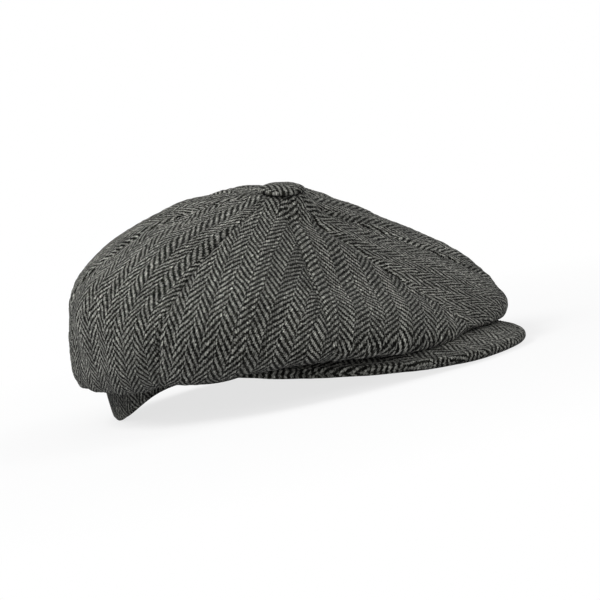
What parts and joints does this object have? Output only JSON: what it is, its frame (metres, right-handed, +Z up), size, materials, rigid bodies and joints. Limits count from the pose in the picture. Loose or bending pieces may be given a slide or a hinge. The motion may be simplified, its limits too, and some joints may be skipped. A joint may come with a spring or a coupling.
{
  "type": "newsboy cap",
  "caption": "Soft tweed cap: a full panelled crown with a covered button on a headband, over a short stiff peak that flexes down.",
  "frame": {"origin": "on the resting plane, under the centre of the head opening", "axes": "+Z up; the front of the cap and its peak face -Y; the wearer's right is -X"},
  "size_m": [0.252, 0.2939, 0.123],
  "materials": {
    "tweed": "broken herringbone wool tweed, light grey and near black yarns",
    "interlining": "plain woven interlining",
    "sweatband": "black cotton twill tape",
    "thread": "grey sewing thread",
    "label": "blank woven label",
    "lining": "dark satin",
    "board": "moulded stiffener",
    "steel": "pressed sheet",
    "brass": "blackened press stud"
  },
  "bodies": {
    "cap": {"crown_panel_front_right": "tweed", "crown_panel_side_front_right": "tweed", "crown_panel_side_back_right": "tweed", "crown_panel_back_right": "tweed", "crown_panel_back_left": "tweed", "crown_panel_side_back_left": "tweed", "crown_panel_side_front_left": "tweed", "crown_panel_front_left": "tweed", "headband": "tweed", "headband_interlining": "interlining", "sweatband": "sweatband", "sweatband_stitching": "thread", "size_label": "label", "lining_tip": "lining", "lining_side_right": "lining", "lining_side_left": "lining", "button_cover": "tweed", "button_shell": "steel", "button_back_plate": "steel", "button_shank": "steel", "button_washer": "steel", "snap_socket": "brass"},
    "peak": {"peak_top_cover": "tweed", "peak_board": "board", "peak_under_cover": "tweed", "peak_topstitching": "thread", "snap_stud": "brass"}
  },
  "joints": [
    {"name": "peak_flex", "type": "hinge", "parent": "cap", "child": "peak", "pos_m": [0, -0.036, 0.021], "axis": [1, 0, 0], "range_deg": [0, 14], "stiffness_Nm_per_rad": 0.6, "springref_deg": -9.74}
  ]
}
